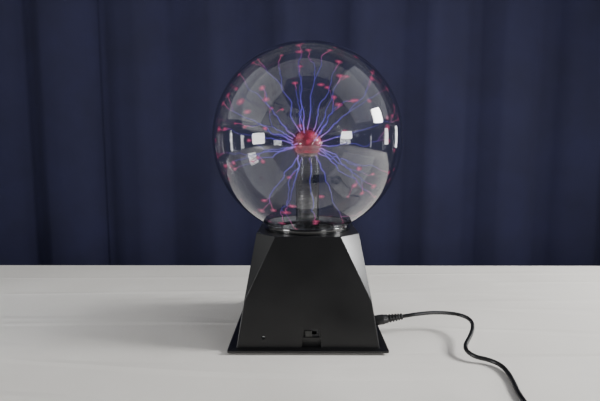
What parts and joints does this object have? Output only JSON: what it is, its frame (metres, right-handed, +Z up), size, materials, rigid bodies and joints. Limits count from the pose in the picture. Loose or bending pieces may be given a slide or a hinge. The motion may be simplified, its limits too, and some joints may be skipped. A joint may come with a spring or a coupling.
{
  "type": "plasma ball",
  "caption": "Desk plasma ball: clear glass globe with a coil-wound stem and glowing electrode on a black tapering four-sided base, with slide switch and plug-in low-voltage lead.",
  "frame": {"origin": "middle of the base where its feet meet the table", "axes": "+Z up, front with the switch faces -Y, power socket on +X"},
  "size_m": [0.2733, 0.355, 0.3041],
  "materials": {
    "black_housing": "satin moulded black plastic",
    "black_inner": "matt black plastic",
    "foot_rubber": "soft matt rubber",
    "seat_rubber": "grey-black rubber",
    "gloss_black": "polished black plastic",
    "zinc_steel": "zinc plated",
    "globe_glass": "clear polished glass",
    "stem_glass": "clear glass",
    "electrode_glow": "glowing red filling",
    "brass": "plain brass",
    "spring_steel": "drawn spring wire",
    "white_nylon": "natural nylon",
    "red_silicone": "red silicone insulation",
    "ferrite": "sintered dark grey",
    "potting": "cast black resin",
    "copper_wire": "enamelled copper",
    "board_laminate": "brown phenolic laminate",
    "aluminium": "extruded aluminium",
    "device_black": "moulded epoxy",
    "capacitor_sleeve": "dark blue sleeve",
    "film_box": "red-brown box",
    "resistor_body": "tan lacquer",
    "thin_wires": "blue insulated wire",
    "knob_grey": "dark grey plastic",
    "nickel": "nickel plated",
    "plug_pvc": "satin black PVC",
    "cord_pvc": "black PVC sheath",
    "tie_strap": "black strap",
    "adapter_plastic": "fine textured black plastic",
    "laminations": "stacked steel sheets"
  },
  "bodies": {
    "base": {"base_shell": "black_housing", "bottom_plate": "black_inner", "rubber_feet": "foot_rubber", "bottom_screws": "zinc_steel", "globe_collar": "gloss_black", "globe_gasket": "seat_rubber", "neck_sleeve": "foot_rubber", "retaining_ring": "black_inner", "retaining_screws": "zinc_steel", "glass_globe": "globe_glass", "glass_stem": "stem_glass", "electrode_core": "electrode_glow", "electrode_cap": "brass", "stem_spring": "spring_steel", "hv_terminal": "brass", "terminal_plug": "white_nylon", "hv_lead": "red_silicone", "flyback_core": "ferrite", "flyback_winding": "potting", "primary_coil": "copper_wire", "circuit_board": "board_laminate", "board_screws": "zinc_steel", "heat_sink": "aluminium", "power_transistor": "device_black", "transistor_screw": "zinc_steel", "electrolytic_capacitors": "capacitor_sleeve", "film_capacitors": "film_box", "resistors": "resistor_body", "control_chip": "potting", "microphone": "aluminium", "microphone_boot": "foot_rubber", "microphone_wires": "thin_wires", "switch_frame": "zinc_steel", "switch_body": "device_black", "switch_terminals": "nickel", "switch_wires": "thin_wires", "switch_screws": "zinc_steel", "dc_jack_body": "black_inner", "dc_jack_pin": "nickel", "jack_wires": "red_silicone"},
    "slider": {"switch_knob": "knob_grey"},
    "power_lead": {"dc_plug_grip": "plug_pvc", "dc_plug_barrel": "nickel", "dc_plug_insulator": "white_nylon", "power_cord": "cord_pvc", "cord_tail": "cord_pvc", "cord_coil": "cord_pvc", "cord_tie": "tie_strap", "adapter_case": "adapter_plastic", "adapter_cap": "adapter_plastic", "adapter_blades": "nickel", "adapter_strain_relief": "plug_pvc", "adapter_transformer": "laminations"}
  },
  "joints": [
    {"name": "switch_slide", "type": "slide", "parent": "base", "child": "slider", "axis": [1, 0, 0], "range_m": [0, 0.0055]},
    {"name": "plug_pull", "type": "slide", "parent": "base", "child": "power_lead", "axis": [0.9875, 0, 0.1575], "range_m": [0, 0.012]}
  ]
}
